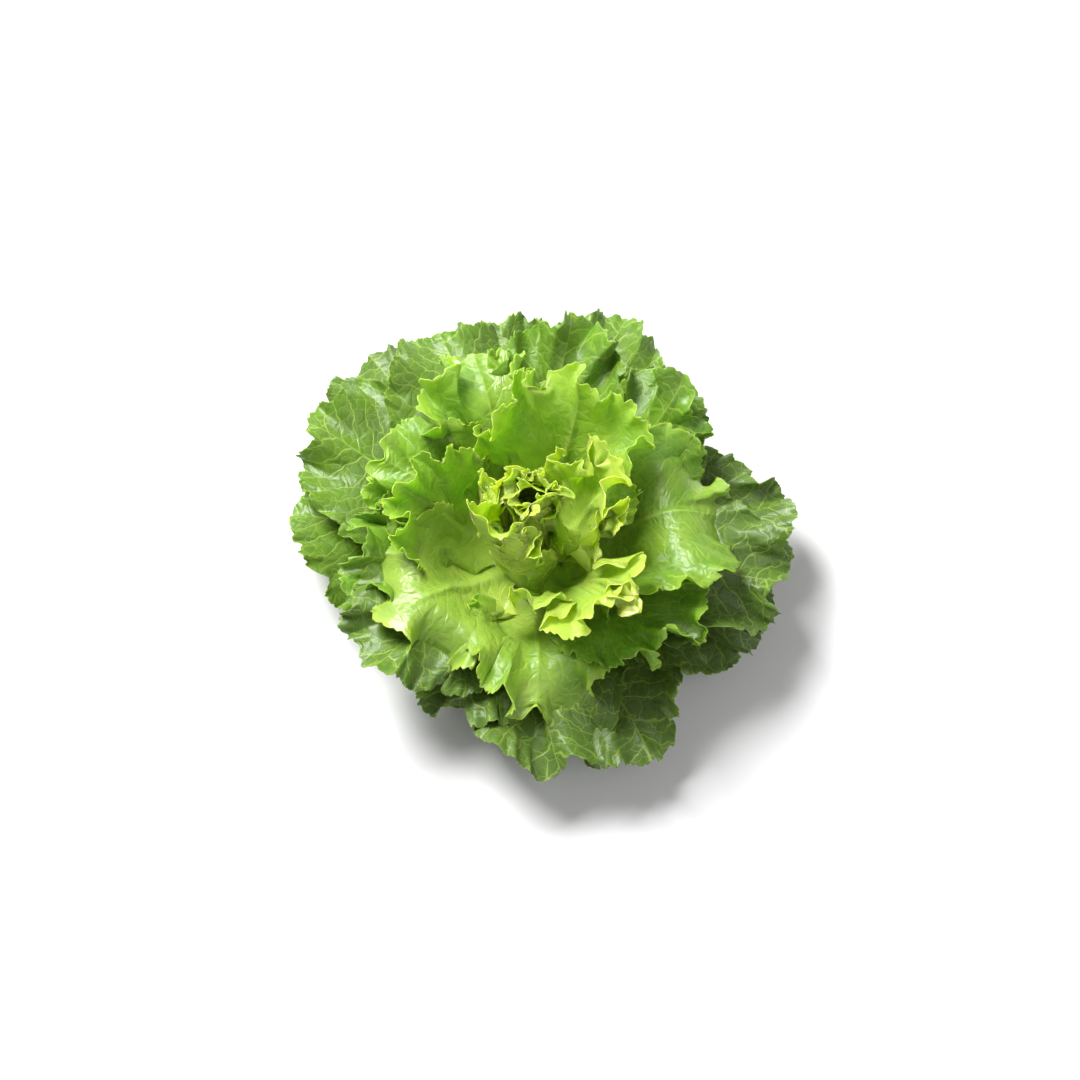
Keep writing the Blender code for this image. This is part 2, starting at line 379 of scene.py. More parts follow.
def growth(leaf, t, q, frill, share):
    """How much longer the sheet has grown, along its rim, than its layer has room for; share is how much
    of the finest frills has come in."""
    inward = (1 - t) * leaf.length * mix(1.0, 0.65, np.abs(q))
    sides = smooth((1.0 - np.abs(q)) / 0.15)
    band = np.interp(leaf.layer, *FINE_DEPTH)
    fine = share * np.clip(0.75 + 0.5 * ripple(leaf, q, (2.3, 4.1, 7.7), FINE_FRILLS), 0.1, 1.6)
    fine = fine * np.exp(-((inward / band) ** 1.3))
    broad = np.clip(0.30 + 0.16 * ripple(leaf, q, (1.7, 3.3), BROAD_FRILLS), 0.02, 1)
    broad = broad * np.exp(-((inward / BROAD_DEPTH) ** 1.6))
    cells = ripple(leaf, q + 0.3 * t, (6.1, 9.7), PUCKERS) * np.sin(t * 19 + q * 5)
    pucker = 0.05 * smooth((t - 0.15) / 0.2) * (1 + cells)
    return 1 + frill * leaf.frill * sides * (fine + broad) + pucker


def rest_lengths(base, grown):
    """Grown lengths of the edges across, along and on both diagonals."""
    across = base[:, :, 1:] - base[:, :, :-1]
    along = base[:, 1:] - base[:, :-1]
    g = 0.5 * (grown[:, :, 1:] + grown[:, :, :-1])
    rest_c = length_of(across) * g
    rest_r = length_of(along) * (1 + 0.12 * (grown[:, 1:] - 1))
    cell_c = 0.5 * (across[:, 1:] * g[:, 1:, :, None] + across[:, :-1] * g[:, :-1, :, None])
    cell_r = 0.5 * (along[:, :, 1:] + along[:, :, :-1])
    return rest_c, rest_r, length_of(cell_r + cell_c), length_of(cell_r - cell_c)


def toothed(points, plans, deepest):
    """The rim drawn in here and there by a millimetre or so, into small uneven teeth."""
    out = points.copy()
    last = points.shape[1] - 1
    for number, leaf in enumerate(LEAVES):
        t, q = plans[number][0][:, 0], plans[number][1][0]
        depth = np.clip(ripple(leaf, q, (53, 71, 97, 23), TEETH) + 0.2, 0, 1.6) * mix(1.0, 0.5, leaf.green)
        depth *= deepest / leaf.length
        start = t[last - TOOTH_ROWS]
        for row in range(last - TOOTH_ROWS + 1, last + 1):
            wanted = t[row] - depth * smooth((t[row] - start) / (1 - start))
            place = np.interp(wanted, t, np.arange(last + 1))
            low = np.minimum(place.astype(int), last - 1)
            share = (place - low)[:, None]
            columns = np.arange(len(q))
            out[number, row] = mix(points[number, low, columns], points[number, low + 1, columns], share)
    return out


# Each level halves the grid's pitch: random lift in metres, rounds of settling, how often the leaves are
# parted from each other, and how much of the finest frills' growth has come in.
Level = namedtuple("Level", "lift rounds apart_every fine")
LEVELS = (
    Level(0.0100, 160, 40, 0.15),
    Level(0.0040, 160, 40, 0.25),
    Level(0.0025, 120, 30, 0.7),
    Level(0.0016, 80, 26, 1.0),
    Level(0.0006, 36, 17, 1.0),
    Level(0.0, 8, 0, 1.0),
)


def random_lift(chance, base, t, lift):
    """A smooth random move of every point off its layer, strongest at the rims of the heart leaves."""
    size = chance.normal(size=base.shape[:3])
    size = 0.25 * (size + np.roll(size, 1, 2) + np.roll(size, 1, 1) + np.roll(size, 2, 2))
    lively = np.array([mix(1.0, 0.45, leaf.layer) for leaf in LEAVES])[:, None, None]
    return (lift * lively * size * smooth((t - 0.4) / 0.5))[..., None] * grid_normals(base)


def grow_leaves(levels, frill, tooth_depth):
    """All the leaves' frilled surfaces, as one array of grids, refined level by level."""
    rows, columns = COARSE_ROWS, COARSE_COLUMNS
    chance = np.random.default_rng(7)
    points = None
    for level in levels:
        plans = [blade_plan(leaf, rows, columns) for leaf in LEAVES]
        base = np.stack([lay_in_layer(leaf, p[2], p[3]) for leaf, p in zip(LEAVES, plans)])
        grown = np.stack([growth(leaf, p[0], p[1], frill, level.fine) for leaf, p in zip(LEAVES, plans)])
        points = base.copy() if points is None else points
        t = plans[0][0][None]
        points += random_lift(chance, base, t, level.lift)
        hold = (1 - smooth((t - 0.3) / 0.35)) ** 2 * 0.5 * np.ones(base.shape[:3])
        most = np.array([np.interp(leaf.layer, *RIM_ROOM) for leaf in LEAVES])
        room = mix(INNER_ROOM, most[:, None, None], smooth((t - 0.6) / 0.38)) * np.ones(base.shape[:3])
        rests = rest_lengths(base, grown)
        points = relax(points, base, rests, hold, room, level.rounds, level.apart_every)
        if columns < FINE_COLUMNS:
            if rows < FINE_ROWS:
                rows, points = 2 * rows - 1, halfway(points, 1)
            columns, points = 2 * columns - 1, halfway(points, 2)
    return toothed(points, plans, tooth_depth), plans


# ---------------------------------------------------------------- meshes


def closed_blade(name, inner, outer, traits):
    """A mesh of two matching grids joined round their rim, with the traits kept as vertex attributes."""
    rows, columns = inner.shape[:2]
    quads, index = grid_quads(rows, columns)
    ring = np.concatenate((index[0, :-1], index[:-1, -1], index[-1, :0:-1], index[:0:-1, 0]))
    after = np.roll(ring, -1)
    shift = rows * columns
    rim = np.stack((ring, ring + shift, after + shift, after), -1)
    faces = np.concatenate((quads, quads[:, ::-1] + shift, rim))
    verts = np.concatenate((inner.reshape(-1, 3), outer.reshape(-1, 3)))
    mesh = bpy.data.meshes.new(name)
    mesh.vertices.add(len(verts))
    mesh.vertices.foreach_set("co", verts.astype(np.float32).ravel())
    mesh.loops.add(faces.size)
    mesh.loops.foreach_set("vertex_index", faces.astype(np.int32).ravel())
    mesh.polygons.add(len(faces))
    mesh.polygons.foreach_set("loop_start", np.arange(0, faces.size, 4, dtype=np.int32))
    mesh.polygons.foreach_set("use_smooth", np.ones(len(faces), dtype=bool))
    mesh.update(calc_edges=True)
    both = {key: np.concatenate((values.ravel(), values.ravel())) for key, values in traits.items()}
    both["underside"] = np.concatenate((np.zeros(shift), np.ones(shift)))
    for key, values in both.items():
        mesh.attributes.new(key, "FLOAT", "POINT").data.foreach_set("value", values.astype(np.float32))
    unwrap(mesh, faces, rows, columns, len(rim))
    return mesh


def unwrap(mesh, faces, rows, columns, rim_faces):
    """The map of a closed blade: its two sides side by side, with the rim's faces hung off the inner side."""
    wide = 0.5 - 2 * MAP_MARGIN
    high = 1 - 2 * MAP_MARGIN
    u = np.broadcast_to(MAP_MARGIN + wide * np.linspace(0, 1, columns)[None], (rows, columns)).ravel()
    v = np.broadcast_to(MAP_MARGIN + high * np.linspace(0, 1, rows)[:, None], (rows, columns)).ravel()
    place = np.stack((np.concatenate((u, u + 0.5)), np.concatenate((v, v))), -1)[faces]
    rim = place[-rim_faces:]
    rim[:, 1:3] = rim[:, [0, 3]]
    rim[:, 1:3] += MAP_RIM * np.sign(rim[:, 1:3] - (0.25, 0.5))
    layer = mesh.uv_layers.new(name="OFBake")
    layer.data.foreach_set("uv", place.astype(np.float32).ravel())


def leaf_mesh(leaf, surface, plan, shape):
    """The leaf's thin closed blade, with its thick pale rib standing out underneath."""
    t, _, along, aside = plan
    rib = np.exp(-((aside / mix(RIB_AT_FOOT, RIB_AT_TIP, t)) ** 2)) * (1 - t) ** 0.8
    thick = shape.blade_thickness * mix(1.0, 0.6, t) + (shape.foot_thickness - shape.blade_thickness) * rib
    below = surface - grid_normals(surface[None])[0] * thick[..., None]
    return closed_blade(leaf.name + "_blade", surface, below, {"up": t, "along": along, "aside": aside})


# ---------------------------------------------------------------- materials


def add_node(tree, kind, inputs=(), **settings):
    """A node of this kind, with its settings, and its inputs set or linked by name or number."""
    node = tree.nodes.new(kind)
    for name, value in settings.items():
        setattr(node, name, value)
    for name, value in dict(inputs).items():
        if isinstance(value, bpy.types.NodeSocket):
            tree.links.new(value, node.inputs[name])
        else:
            node.inputs[name].default_value = value
    return node


def calc(tree, operation, *values, clamp=False):
    """The result of a Math node."""
    node = add_node(tree, "ShaderNodeMath", enumerate(values), operation=operation, use_clamp=clamp)
    return node.outputs[0]


def vector_calc(tree, operation, *values):
    """The result of a Vector Math node."""
    return add_node(tree, "ShaderNodeVectorMath", enumerate(values), operation=operation).outputs[0]


def ramp(tree, value, low, high, to_low=0.0, to_high=1.0):
    """The value eased from one range to another."""
    inputs = {0: value, 1: low, 2: high, 3: to_low, 4: to_high}
    return add_node(tree, "ShaderNodeMapRange", inputs, interpolation_type="SMOOTHSTEP").outputs[0]


def blend_colour(tree, share, low, high):
    """One colour over another."""
    return add_node(tree, "ShaderNodeMix", {0: share, 6: low, 7: high}, data_type="RGBA").outputs[2]


def noise(tree, place, scale, detail=2.0, output="Fac"):
    """Cloudy noise at this scale."""
    inputs = {"Vector": place, "Scale": scale, "Detail": detail}
    return add_node(tree, "ShaderNodeTexNoise", inputs).outputs[output]


def trait(tree, name):
    """One of the blade's vertex attributes."""
    return add_node(tree, "ShaderNodeAttribute", attribute_name=name).outputs["Fac"]


def new_group(name, inputs, outputs):
    """An empty shader group with named sockets, and its input and output nodes; a tuple is a colour."""
    group = bpy.data.node_groups.new(name, "ShaderNodeTree")
    for socket, default in inputs.items():
        kind = "NodeSocketColor" if isinstance(default, tuple) else "NodeSocketFloat"
        group.interface.new_socket(socket, in_out="INPUT", socket_type=kind).default_value = default
    for socket, kind in outputs.items():
        group.interface.new_socket(socket, in_out="OUTPUT", socket_type=kind)
    return group, group.nodes.new("NodeGroupInput").outputs, group.nodes.new("NodeGroupOutput").inputs


def fill_outputs(group, made, results):
    """Links each result to the group's output of that name."""
    for name, value in results.items():
        group.links.new(value, made[name])


def blade_place(tree, number):
    """The blade's own flat coordinates in millimetres, shifted so that every leaf has its own pattern."""
    x = calc(tree, "MULTIPLY", trait(tree, "aside"), 1000)
    y = calc(tree, "MULTIPLY", trait(tree, "along"), 1000)
    place = add_node(tree, "ShaderNodeCombineXYZ", {0: x, 1: y, 2: calc(tree, "MULTIPLY", number, 31.7)})
    return x, place.outputs[0]


def vein_group():
    """Veins of a lettuce blade: a midrib, side veins that curve off it, and a fine net between them.

    Places and widths on the blade are in millimetres.
    """
    name = "Leaf veins"
    if name in bpy.data.node_groups:
        return bpy.data.node_groups[name]
    outputs = dict.fromkeys(("Midrib", "Side veins", "Net", "Puff", "Mottle"), "NodeSocketFloat")
    inputs = {"Vein spacing": 11.0, "Net size": 7.0, "Leaf number": 0.0}
    group, given, made = new_group(name, inputs, outputs)
    up = trait(group, "up")
    x, place = blade_place(group, given["Leaf number"])
    drift = vector_calc(group, "SUBTRACT", noise(group, place, 0.07, output="Color"), (0.5, 0.5, 0.5))
    moved = vector_calc(group, "MULTIPLY_ADD", drift, (11.0, 11.0, 11.0), place)
    split = add_node(group, "ShaderNodeSeparateXYZ", {0: moved}).outputs
    off = calc(group, "ABSOLUTE", x)
    # side veins leave the midrib at about 45 degrees and turn up towards the tip
    rise = calc(group, "MULTIPLY", calc(group, "POWER", calc(group, "ABSOLUTE", split[0]), 1.12), 0.72)
    stagger = calc(group, "MULTIPLY", calc(group, "SIGN", x), 0.25)
    line = calc(group, "SUBTRACT", split[1], rise)
    turns = calc(group, "ADD", calc(group, "DIVIDE", line, given["Vein spacing"]), stagger)
    gap = calc(group, "ABSOLUTE", calc(group, "SUBTRACT", calc(group, "FRACT", turns), 0.5))
    gap = calc(group, "MULTIPLY", gap, given["Vein spacing"])
    width = ramp(group, off, 0.0, 45.0, 0.85, 0.30)
    side = calc(group, "SUBTRACT", 1.0, ramp(group, calc(group, "DIVIDE", gap, width), 0.25, 1.0))
    rib_width = ramp(group, up, 0.0, 0.85, 5.0, 0.45)
    midrib = calc(group, "SUBTRACT", 1.0, ramp(group, calc(group, "DIVIDE", off, rib_width), 0.4, 1.0))
    # the net is the walls between cells of two sizes
    walls = []
    for share in (1.0, 2.7):
        scale = calc(group, "DIVIDE", share, given["Net size"])
        cells = {"Vector": moved, "Scale": scale, "Randomness": 0.9}
        walls.append(add_node(group, "ShaderNodeTexVoronoi", cells, feature="DISTANCE_TO_EDGE").outputs[0])
    big = calc(group, "SUBTRACT", 1.0, ramp(group, walls[0], 0.006, 0.026))
    small = calc(group, "SUBTRACT", 1.0, ramp(group, walls[1], 0.010, 0.055))
    net = calc(group, "MAXIMUM", big, calc(group, "MULTIPLY", small, 0.30))
    puff = calc(group, "MULTIPLY", ramp(group, walls[0], 0.0, 0.32), ramp(group, gap, 0.0, 3.0, 0.3, 1.0))
    puff = calc(group, "ADD", puff, calc(group, "MULTIPLY", ramp(group, walls[1], 0.0, 0.3), 0.12))
    mottle = noise(group, place, 0.045, 5.0)
    results = {"Midrib": midrib, "Side veins": side, "Net": net, "Puff": puff, "Mottle": mottle}
    fill_outputs(group, made, results)
    return group


def tissue_group(colours):
    """Leaf tissue: greener with age and towards the rim, with pale veins and a silvery underside. The Green
    of the outer leaves on the bottom and right also holds painted shade.
    """
    name = "Leaf tissue"
    if name in bpy.data.node_groups:
        return bpy.data.node_groups[name]
    inputs = {"Green": 0.5, "Vein strength": 0.5, "Vein spacing": 11.0, "Net size": 7.0, "Leaf number": 0.0}
    outputs = {"Colour": "NodeSocketColor", "Roughness": "NodeSocketFloat", "Height": "NodeSocketFloat"}
    for socket in ("Heart", "Fresh", "Old", "Vein", "Rim", "Underside"):
        inputs[socket] = (*getattr(colours, socket.lower() + "_colour"), 1.0)
    group, given, made = new_group(name, inputs, outputs)
    veins = add_node(group, "ShaderNodeGroup", node_tree=vein_group())
    for socket in ("Vein spacing", "Net size", "Leaf number"):
        group.links.new(given[socket], veins.inputs[socket])
    veins = veins.outputs
    up, under = trait(group, "up"), trait(group, "underside")
    # tone runs from 0, pale, to 1, dark; on the outer leaves of the bottom and right, part of the dark is
    # painted shade
    tone = calc(group, "MULTIPLY_ADD", calc(group, "SUBTRACT", veins["Mottle"], 0.5), 0.60, given["Green"])
    tone = calc(group, "ADD", tone, ramp(group, up, 0.1, 0.75, -0.34, 0.02))
    tone = calc(group, "SUBTRACT", tone, ramp(group, up, 0.90, 1.0, 0.0, 0.08))
    early = calc(group, "DIVIDE", tone, 0.45, clamp=True)
    colour = blend_colour(group, early, given["Heart"], given["Fresh"])
    late = calc(group, "DIVIDE", calc(group, "SUBTRACT", tone, 0.45), 0.55, clamp=True)
    colour = blend_colour(group, late, colour, given["Old"])
    lines = calc(group, "MULTIPLY", veins["Net"], ramp(group, up, 0.2, 0.6, 0.3, 0.8))
    lines = calc(group, "MAXIMUM", lines, calc(group, "MULTIPLY", veins["Side veins"], 0.9))
    lines = calc(group, "MULTIPLY", lines, given["Vein strength"])
    rib = calc(group, "MULTIPLY", veins["Midrib"], ramp(group, up, 0.2, 0.8, 0.8, 0.45))
    lines = calc(group, "MAXIMUM", lines, rib)
    colour = blend_colour(group, lines, colour, given["Vein"])
    colour = blend_colour(group, ramp(group, up, 0.991, 1.0, 0.0, 0.18), colour, given["Rim"])
    back = calc(group, "MULTIPLY", under, calc(group, "MULTIPLY_ADD", given["Green"], 0.27, 0.15))
    colour = blend_colour(group, back, colour, given["Underside"])
    shine = ramp(group, veins["Mottle"], 0.3, 0.7, 0.23, 0.38)
    shine = calc(group, "MULTIPLY_ADD", under, 0.10, shine)
    height = calc(group, "MULTIPLY_ADD", veins["Side veins"], -0.5, veins["Puff"])
    fill_outputs(group, made, {"Colour": colour, "Roughness": shine, "Height": height})
    return group


def set_inputs(shader, values):
    """Sets the node's own sockets, by name."""
    for name, value in values.items():
        shader.inputs[name].default_value = value


def new_material(name):
    """A material, its node tree and its shader."""
    material = bpy.data.materials.new(name)
    material.use_nodes = True
    return material, material.node_tree, material.node_tree.nodes["Principled BSDF"]


def leaf_skin(leaf, colours):
    """The satin, slightly see-through skin of one leaf."""
    material, tree, shader = new_material(leaf.name + "_skin")
    tissue = add_node(tree, "ShaderNodeGroup", node_tree=tissue_group(colours))
    set_inputs(tissue, {
        "Green": leaf.green,
        "Vein strength": mix(0.24, 0.62, smooth(leaf.green * 1.3)),
        "Vein spacing": mix(8.0, 12.0, leaf.green),
        "Net size": mix(5.0, 8.0, leaf.green),
        "Leaf number": float(LEAVES.index(leaf)),
    })
    place = add_node(tree, "ShaderNodeTexCoord").outputs["Object"]
    height = calc(tree, "MULTIPLY_ADD", noise(tree, place, 900.0), 0.05, tissue.outputs["Height"])
    bump = add_node(tree, "ShaderNodeBump", {"Height": height, "Strength": 0.42, "Distance": 0.0006})
    tree.links.new(tissue.outputs["Colour"], shader.inputs["Base Color"])
    tree.links.new(tissue.outputs["Roughness"], shader.inputs["Roughness"])
    tree.links.new(bump.outputs[0], shader.inputs["Normal"])
    set_inputs(shader, {
        "Subsurface Weight": 1.0,
        "Subsurface Radius": (0.8, 1.0, 0.12),
        "Subsurface Scale": mix(0.0032, 0.0007, smooth(leaf.green * 1.6)),
        "Specular IOR Level": mix(0.66, 0.38, smooth(leaf.green * 1.3)),
    })
    return material


def stem_flesh(colours):
    """Pale stem with leaf scars round its side and a cut face of ringed, slightly browned flesh."""
    material, tree, shader = new_material("stem_flesh")
    place = add_node(tree, "ShaderNodeTexCoord").outputs["Object"]
    split = add_node(tree, "ShaderNodeSeparateXYZ", {0: place}).outputs
    flat = add_node(tree, "ShaderNodeCombineXYZ", {0: split[0], 1: split[1]}).outputs[0]
    out = add_node(tree, "ShaderNodeVectorMath", {0: flat}, operation="LENGTH").outputs["Value"]
    wobble = calc(tree, "MULTIPLY_ADD", noise(tree, flat, 120.0, 3.0), 0.0035, out)
    cut = calc(tree, "SUBTRACT", 1.0, ramp(tree, split[2], 0.0002, 0.0012))
    # strands of vessels stand in a ring inside the cut face
    cells = {"Vector": flat, "Scale": 520.0, "Randomness": 0.8}
    spots = add_node(tree, "ShaderNodeTexVoronoi", cells, feature="F1").outputs["Distance"]
    ring = calc(tree, "MULTIPLY", ramp(tree, wobble, 0.0095, 0.0115), ramp(tree, wobble, 0.0160, 0.0135))
    strands = calc(tree, "MULTIPLY", calc(tree, "SUBTRACT", 1.0, ramp(tree, spots, 0.25, 0.5)), ring)
    patches = ramp(tree, noise(tree, flat, 60.0), 0.35, 0.65)
    brown = calc(tree, "MULTIPLY", ramp(tree, wobble, 0.0125, 0.0175), patches)
    fibre = vector_calc(tree, "MULTIPLY", place, (1.0, 1.0, 0.12))
    streaks = noise(tree, fibre, 700.0, 4.0)
    stains = ramp(tree, noise(tree, place, 95.0, 4.0), 0.55, 0.72)
    flesh, rind = (*colours.flesh_colour, 1), (*colours.rind_colour, 1)
    browned = (*colours.browned_colour, 1)
    side = blend_colour(tree, ramp(tree, streaks, 0.35, 0.65), flesh, rind)
    side = blend_colour(tree, calc(tree, "MULTIPLY", stains, 0.45), side, browned)
    face = blend_colour(tree, calc(tree, "MULTIPLY", strands, 0.5), flesh, rind)
    face = blend_colour(tree, calc(tree, "MULTIPLY", brown, 0.7), face, browned)
    side = blend_colour(tree, ramp(tree, split[2], 0.009, 0.014), side, (*colours.heart_colour, 1))
    tree.links.new(blend_colour(tree, cut, side, face), shader.inputs["Base Color"])
    tree.links.new(ramp(tree, streaks, 0.3, 0.7, 0.38, 0.58), shader.inputs["Roughness"])
    relief = calc(tree, "ADD", streaks, calc(tree, "MULTIPLY", strands, 0.6))
    bump = add_node(tree, "ShaderNodeBump", {"Height": relief, "Strength": 0.35, "Distance": 0.0004})
    tree.links.new(bump.outputs[0], shader.inputs["Normal"])
    set_inputs(shader, {
        "Subsurface Weight": 0.6,
        "Subsurface Radius": (1.0, 0.9, 0.4),
        "Subsurface Scale": 0.0015,
    })
    return material


# ---------------------------------------------------------------- pieces


def add_piece(name, mesh, material, node):
    """A finished piece: in the scene, riding the head, and standing for its part of the frame."""
    piece = bpy.data.objects.new(name, mesh)
    bpy.context.scene.collection.objects.link(piece)
    mesh.materials.append(material)
    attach(piece, BODY)
    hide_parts(node)
    return piece


GROWN = {}


def grown_leaves(shape):
    """The frilled surface and plan of every leaf by name, grown once."""
    if not GROWN:
        levels = LEVELS
        surfaces, plans = grow_leaves(levels, shape.frill, shape.tooth_depth)
        GROWN.update({leaf.name: (surface, plan) for leaf, surface, plan in zip(LEAVES, surfaces, plans)})
    return GROWN


def add_leaves(kind, context):
    """All the leaves whose names start with this kind."""
    shape, colours = context.scene.lettuce_shape, context.scene.lettuce_colours
    for leaf in LEAVES:
        if leaf.name.startswith(kind):
            surface, plan = grown_leaves(shape)[leaf.name]
            mesh = leaf_mesh(leaf, surface, plan, shape)
            add_piece(leaf.name + "_blade", mesh, leaf_skin(leaf, colours), leaf.name)


def stem_rings(shape):
    """(radius, height) of the stem's rings, from the middle of the cut face to the top of the crown."""
    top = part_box("stem")[1][2]
    face = [(STEM_RADIUS * share, 0.0) for share in CUT_RINGS]
    side = [(STEM_RADIUS + out, z) for out, z in ((0, shape.cut_bevel), *SIDE_RINGS)]
    radius, height = CROWN_RADIUS - 0.001, top - CROWN_BASE
    turns = np.linspace(math.pi / 2, 0, DOME_RINGS)
    dome = [(radius * math.sin(turn), CROWN_BASE + height * math.cos(turn)) for turn in turns]
    return np.array(face + side + dome)


def stem_mesh(shape):
    """The stump and crown: a ring-by-ring skin with shallow leaf scars, closed at both ends."""
    rings = stem_rings(shape)
    turn = np.linspace(0, 2 * math.pi, STEM_SIDES, endpoint=False)
    radius, height = rings[:, :1], rings[:, 1:]
    # low ridges climb the side, where leaves were taken off
    scars = 0.0002 * np.sin(5 * turn + height * 500) + 0.0001 * np.sin(13 * turn)
    radius = radius + scars * smooth(radius / 0.014) * smooth(height / 0.003)
    mesh = bpy.data.meshes.new("stem_core")
    work = bmesh.new()
    made = []
    for ring, z in zip(radius, height[:, 0]):
        if ring.max() < SMALLEST_RING:
            made.append([work.verts.new((0, 0, z))])
        else:
            made.append([work.verts.new((d * math.cos(a), d * math.sin(a), z)) for d, a in zip(ring, turn)])
    for low, high in zip(made, made[1:]):
        for i in range(STEM_SIDES):
            j = (i + 1) % STEM_SIDES
            corners = (low[i % len(low)], low[j % len(low)], high[j % len(high)], high[i % len(high)])
            work.faces.new(list(dict.fromkeys(corners))).smooth = True
    bmesh.ops.recalc_face_normals(work, faces=work.faces)
    work.to_mesh(mesh)
    work.free()
    return mesh


# ---------------------------------------------------------------- what a user can change


def colour_of(red, green, blue):
    """A linear colour from the 0 to 255 numbers of a screen colour."""
    return tuple(((c / 255 + 0.055) / 1.055) ** 2.4 for c in (red, green, blue))


def colour_property(name, description, red, green, blue):
    """A colour that a user can change."""
    wanted = {"name": name, "description": description, "default": colour_of(red, green, blue)}
    return FloatVectorProperty(subtype="COLOR", min=0, max=1, **wanted)


def length_property(name, description, default):
    """A length that a user can change."""
    wanted = {"name": name, "description": description, "default": default}
    return FloatProperty(subtype="DISTANCE", unit="LENGTH", precision=4, min=0, **wanted)


def number_property(name, description, default, most, **kind):
    """A plain number, or one with the unit given, that a user can change."""
    return FloatProperty(name=name, description=description, default=default, min=0, max=most, **kind)


class LettuceShape(bpy.types.PropertyGroup):
    """Sizes of the head's blades and stem"""

    frill: number_property("Frill", "How strongly all the rims are frilled", 1.0, 1.5, subtype="FACTOR")
    blade_thickness: length_property("Blade thickness", "Thickness of a leaf between its veins", 0.0006)
    foot_thickness: length_property("Foot thickness", "Thickness of the midrib at the stem", 0.0030)
    tooth_depth: length_property("Tooth depth", "Depth of the teeth in the rims of the heart leaves", 0.0020)
    cut_bevel: length_property("Cut rounding", "Rounding of the edge of the cut stem", 0.0008)


class LettuceColours(bpy.types.PropertyGroup):
    """Colours of the leaves and the stem"""

    heart_colour: colour_property("Heart", "Palest leaves", 184, 214, 88)
    fresh_colour: colour_property("Fresh", "Middle leaves", 98, 144, 2)
    # Old is also where the painted shade of the outer leaves on the bottom and right runs to, through their
    # green.
    old_colour: colour_property("Old", "Oldest outer leaves", 18, 48, 0)
    vein_colour: colour_property("Veins", "Midribs and veins", 184, 206, 96)
    rim_colour: colour_property("Rim", "The thin edge of each leaf", 196, 206, 104)
    underside_colour: colour_property("Underside", "Backs of the leaves", 132, 166, 74)
    flesh_colour: colour_property("Flesh", "Flesh of the stem", 226, 226, 188)
    rind_colour: colour_property("Rind", "Skin of the stem", 190, 204, 140)
    browned_colour: colour_property("Browned", "Where the cut has dried", 150, 104, 62)


class LettuceStudio(bpy.types.PropertyGroup):
    """The plain studio round the head"""

    floor_colour: colour_property("Floor", "Plain floor", 240, 240, 240)
    key_power: number_property("Key light", "Power of the large soft light", 52.0, 1000, unit="POWER")
    key_size: length_property("Key size", "Width of the large soft light", 0.75)
    fill_power: number_property("Fill light", "Power of the weak light opposite", 6.0, 1000, unit="POWER")
    sky: number_property("Sky", "Strength of the even light from above", 0.25, 2)
    horizon: number_property("Horizon", "Strength of the light from low down", 0.66, 2)
    camera_height: number_property(
        "Camera height", "Angle of the view above the table", math.radians(72), math.pi / 2, subtype="ANGLE"
    )
    camera_distance: length_property("Camera distance", "From the camera to the head", 1.6)
    view_width: length_property("View width", "Width of the view at the head", 0.61668)


# ---------------------------------------------------------------- operators and panel


class LETTUCE_OT_heart_leaves(bpy.types.Operator):
    """Adds the pale frilled leaves that close over the heart"""

    bl_idname = "lettuce.heart_leaves"
    bl_label = "Heart Leaves"
    bl_options = {"REGISTER", "UNDO"}

    def execute(self, context):
        add_leaves("heart_leaf", context)
        return {"FINISHED"}


class LETTUCE_OT_inner_leaves(bpy.types.Operator):
    """Adds the broad fresh leaves that stand round the heart and roll outward"""

    bl_idname = "lettuce.inner_leaves"
    bl_label = "Inner Leaves"
    bl_options = {"REGISTER", "UNDO"}

    def execute(self, context):
        add_leaves("inner_leaf", context)
        return {"FINISHED"}


class LETTUCE_OT_outer_leaves(bpy.types.Operator):
    """Adds the oldest, darkest leaves, which lie out on the table"""

    bl_idname = "lettuce.outer_leaves"
    bl_label = "Outer Leaves"
    bl_options = {"REGISTER", "UNDO"}

    def execute(self, context):
        add_leaves("outer_leaf", context)
        return {"FINISHED"}


class LETTUCE_OT_stem(bpy.types.Operator):
    """Adds the cut stem with the crown that the leaves grow from"""

    bl_idname = "lettuce.stem"
    bl_label = "Cut Stem"
    bl_options = {"REGISTER", "UNDO"}

    def execute(self, context):
        mesh = stem_mesh(context.scene.lettuce_shape)
        add_piece("stem_core", mesh, stem_flesh(context.scene.lettuce_colours), "stem")
        return {"FINISHED"}


def add_floor(studio):
    """A large plain floor under the head."""
    mesh = bpy.data.meshes.new("floor")
    work = bmesh.new()
    bmesh.ops.create_grid(work, x_segments=8, y_segments=8, size=FLOOR_HALF_WIDTH)
    work.to_mesh(mesh)
    work.free()
    material, tree, shader = new_material("floor_paint")
    place = add_node(tree, "ShaderNodeTexCoord").outputs["Object"]
    shade = calc(tree, "MULTIPLY_ADD", noise(tree, place, 1.5), 0.04, 0.0)
    colour = blend_colour(tree, shade, (*studio.floor_colour, 1), (0.7, 0.7, 0.7, 1))
    tree.links.new(colour, shader.inputs["Base Color"])
    shader.inputs["Roughness"].default_value = 0.8
    mesh.materials.append(material)
    floor = bpy.data.objects.new("floor", mesh)
    bpy.context.scene.collection.objects.link(floor)


def add_camera(studio):
    """The camera, looking down on the head from the front."""
    camera = bpy.data.objects.new("camera", bpy.data.cameras.new("camera"))
    bpy.context.scene.collection.objects.link(camera)
    bpy.context.scene.camera = camera
    height = studio.camera_height
    away = Vector((0, -math.cos(height), math.sin(height)))
    camera.location = VIEW_TARGET + away * studio.camera_distance
    camera.rotation_euler = (math.pi / 2 - height, 0, 0)
    camera.data.lens = camera.data.sensor_width * studio.camera_distance / studio.view_width


def add_light(name, place, power, size):
    """A square soft light at this place, turned to the head's foot."""
    lamp = bpy.data.objects.new(name, bpy.data.lights.new(name, "AREA"))
    lamp.data.energy = power
    lamp.data.size = size
    lamp.location = place
    lamp.rotation_euler = Vector(place).to_track_quat("Z", "Y").to_euler()
    bpy.context.scene.collection.objects.link(lamp)


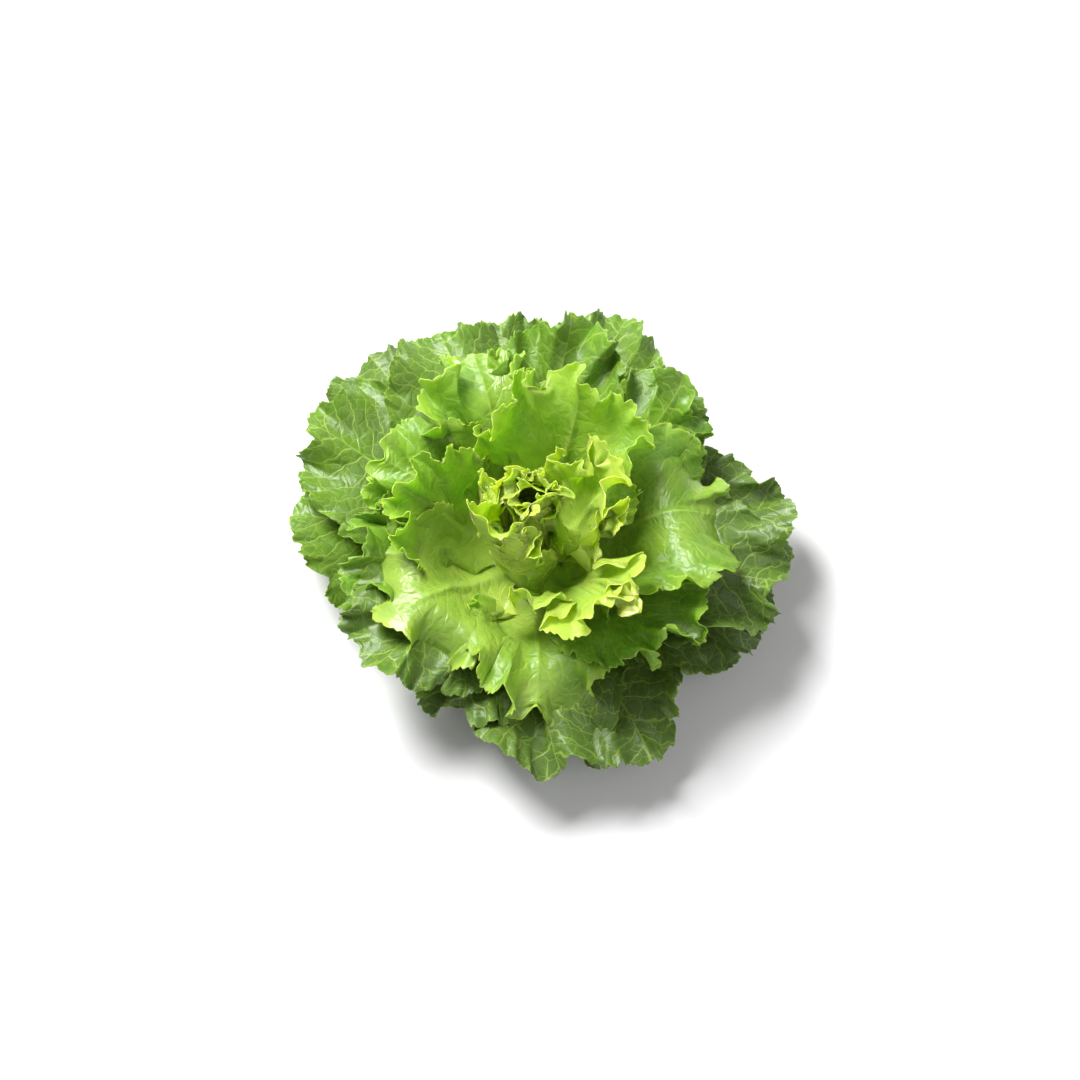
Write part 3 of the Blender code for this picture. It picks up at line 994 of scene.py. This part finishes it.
def add_sky(scene, studio):
    """Even light from all round, stronger near the horizon."""
    scene.world = scene.world or bpy.data.worlds.new("studio_sky")
    scene.world.use_nodes = True
    tree = scene.world.node_tree
    direction = add_node(tree, "ShaderNodeTexCoord").outputs["Generated"]
    height = add_node(tree, "ShaderNodeSeparateXYZ", {0: direction}).outputs[2]
    share = ramp(tree, height, 0.05, 0.40)
    low, high = (*(studio.horizon,) * 3, 1), (*(studio.sky,) * 3, 1)
    tree.links.new(blend_colour(tree, share, low, high), tree.nodes["Background"].inputs["Color"])


class LETTUCE_OT_studio(bpy.types.Operator):
    """Adds the plain floor, the soft lights and the camera"""

    bl_idname = "lettuce.studio"
    bl_label = "Studio"
    bl_options = {"REGISTER", "UNDO"}

    def execute(self, context):
        studio = context.scene.lettuce_studio
        add_floor(studio)
        add_camera(studio)
        add_light("key_light", KEY_PLACE, studio.key_power, studio.key_size)
        add_light("fill_light", FILL_PLACE, studio.fill_power, FILL_SIZE)
        add_sky(context.scene, studio)
        context.scene.view_settings.view_transform = "Standard"
        return {"FINISHED"}


PIECES = (
    LETTUCE_OT_stem,
    LETTUCE_OT_heart_leaves,
    LETTUCE_OT_inner_leaves,
    LETTUCE_OT_outer_leaves,
    LETTUCE_OT_studio,
)
SETTINGS = {"lettuce_shape": LettuceShape, "lettuce_colours": LettuceColours, "lettuce_studio": LettuceStudio}


class LETTUCE_PT_head(bpy.types.Panel):
    """The head's settings and the pieces that they make"""

    bl_idname = "LETTUCE_PT_head"
    bl_label = "Lettuce Head"
    bl_space_type = "VIEW_3D"
    bl_region_type = "UI"
    bl_category = "Lettuce"

    def draw(self, context):
        for operator in PIECES:
            self.layout.operator(operator.bl_idname)
        for name, kind in SETTINGS.items():
            box = self.layout.box()
            for setting in kind.__annotations__:
                box.prop(getattr(context.scene, name), setting)


def register():
    """Adds the settings, the operators and the panel."""
    for kind in (*SETTINGS.values(), *PIECES, LETTUCE_PT_head):
        bpy.utils.register_class(kind)
    for name, kind in SETTINGS.items():
        setattr(bpy.types.Scene, name, PointerProperty(type=kind))


def unregister():
    """Takes them away again."""
    for name in SETTINGS:
        delattr(bpy.types.Scene, name)
    for kind in reversed((*SETTINGS.values(), *PIECES, LETTUCE_PT_head)):
        bpy.utils.unregister_class(kind)


def main():
    """Makes every piece and the studio."""
    register()
    bpy.ops.lettuce.stem()
    bpy.ops.lettuce.heart_leaves()
    bpy.ops.lettuce.inner_leaves()
    bpy.ops.lettuce.outer_leaves()
    bpy.ops.lettuce.studio()


if __name__ == "__main__":
    main()
